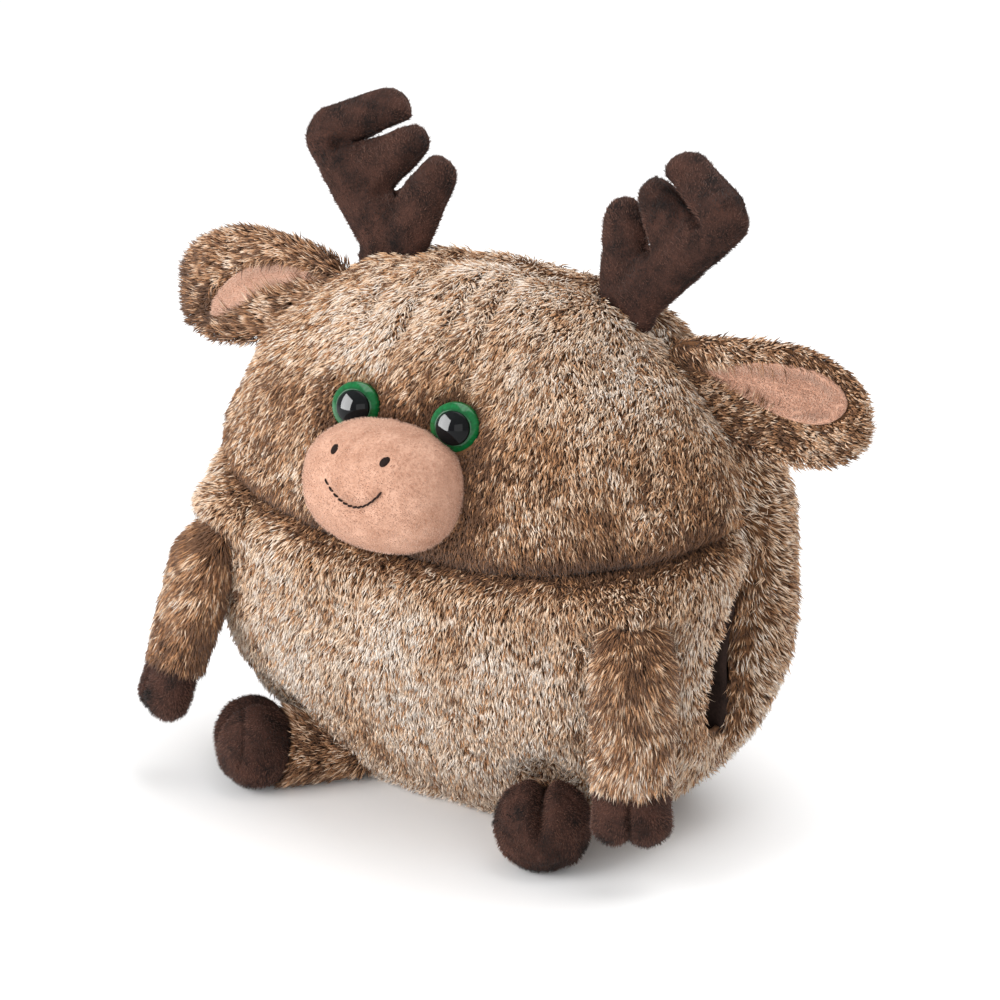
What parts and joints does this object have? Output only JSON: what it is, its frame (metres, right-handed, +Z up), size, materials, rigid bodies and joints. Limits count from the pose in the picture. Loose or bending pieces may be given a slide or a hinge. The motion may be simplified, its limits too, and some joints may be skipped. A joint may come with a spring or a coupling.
{
  "type": "plush deer",
  "caption": "Round sitting plush deer with a soft hand-warming tunnel from side to side, hanging arms, splayed legs, floppy ears and stuffed antlers.",
  "frame": {"origin": "on the floor, in the flat resting face of the body, midway between its sides", "axes": "+Z up; the toy faces -Y; +X towards the toy's own left hand; its ears reach along X"},
  "size_m": [0.4056, 0.2235, 0.3292],
  "materials": {
    "long_pile_fur": "mottled long-pile fur",
    "peach_plush": "short plush",
    "brown_plush": "short brushed plush",
    "dark_lining": "short plush",
    "polyester_filling": "loose fibre",
    "embroidery_thread": "satin thread",
    "green_eye_plastic": "glossy",
    "black_eye_plastic": "glossy",
    "washer_plastic": "moulded"
  },
  "bodies": {
    "body": {"face_cover": "long_pile_fur", "belly_cover": "long_pile_fur", "back_cover": "long_pile_fur", "front_filling": "polyester_filling", "rear_filling": "polyester_filling", "hand_tunnel_lining": "dark_lining", "muzzle": "peach_plush", "smile_stitch": "embroidery_thread", "left_nostril": "embroidery_thread", "left_eye_rim": "green_eye_plastic", "left_eye_pupil": "black_eye_plastic", "left_eye_washer": "washer_plastic", "right_nostril": "embroidery_thread", "right_eye_rim": "green_eye_plastic", "right_eye_pupil": "black_eye_plastic", "right_eye_washer": "washer_plastic"},
    "left_arm": {"left_arm_sleeve": "long_pile_fur", "left_arm_hoof": "brown_plush"},
    "left_leg": {"left_leg_sleeve": "long_pile_fur", "left_leg_hoof": "brown_plush"},
    "left_ear": {"left_ear_shell": "long_pile_fur", "left_ear_lining": "peach_plush"},
    "left_antler_body": {"left_antler": "brown_plush"},
    "right_arm": {"right_arm_sleeve": "long_pile_fur", "right_arm_hoof": "brown_plush"},
    "right_leg": {"right_leg_sleeve": "long_pile_fur", "right_leg_hoof": "brown_plush"},
    "right_ear": {"right_ear_shell": "long_pile_fur", "right_ear_lining": "peach_plush"},
    "right_antler_body": {"right_antler": "brown_plush"}
  },
  "joints": [
    {"name": "left_arm_swing", "type": "hinge", "parent": "body", "child": "left_arm", "pos_m": [0.128, -0.076, 0.1255], "axis": [-0.8146, -0.58, 0], "range_deg": [0, 70]},
    {"name": "left_leg_lift", "type": "hinge", "parent": "body", "child": "left_leg", "pos_m": [0.0629, -0.0484, 0.013], "axis": [-0.8795, -0.4759, 0], "range_deg": [0, 12]},
    {"name": "left_ear_bend", "type": "hinge", "parent": "body", "child": "left_ear", "pos_m": [0.113, 0.004, 0.223], "axis": [0.7178, 0, -0.6963], "range_deg": [-14, 14], "stiffness_Nm_per_rad": 0.06},
    {"name": "left_antler_bend", "type": "hinge", "parent": "body", "child": "left_antler_body", "pos_m": [0.0677, 0.004, 0.2565], "axis": [0.9892, -0.1364, 0.0546], "range_deg": [-12, 12], "stiffness_Nm_per_rad": 0.09},
    {"name": "right_arm_swing", "type": "hinge", "parent": "body", "child": "right_arm", "pos_m": [-0.119, -0.076, 0.1255], "axis": [-0.8146, 0.58, 0], "range_deg": [0, 60]},
    {"name": "right_leg_lift", "type": "hinge", "parent": "body", "child": "right_leg", "pos_m": [-0.0629, -0.0484, 0.013], "axis": [-0.7356, 0.6774, 0], "range_deg": [0, 12]},
    {"name": "right_ear_bend", "type": "hinge", "parent": "body", "child": "right_ear", "pos_m": [-0.113, 0.004, 0.223], "axis": [0.7178, 0, 0.6963], "range_deg": [-14, 14], "stiffness_Nm_per_rad": 0.06},
    {"name": "right_antler_bend", "type": "hinge", "parent": "body", "child": "right_antler_body", "pos_m": [-0.0677, 0.004, 0.2565], "axis": [0.9892, 0.1364, -0.0546], "range_deg": [-12, 12], "stiffness_Nm_per_rad": 0.09}
  ]
}
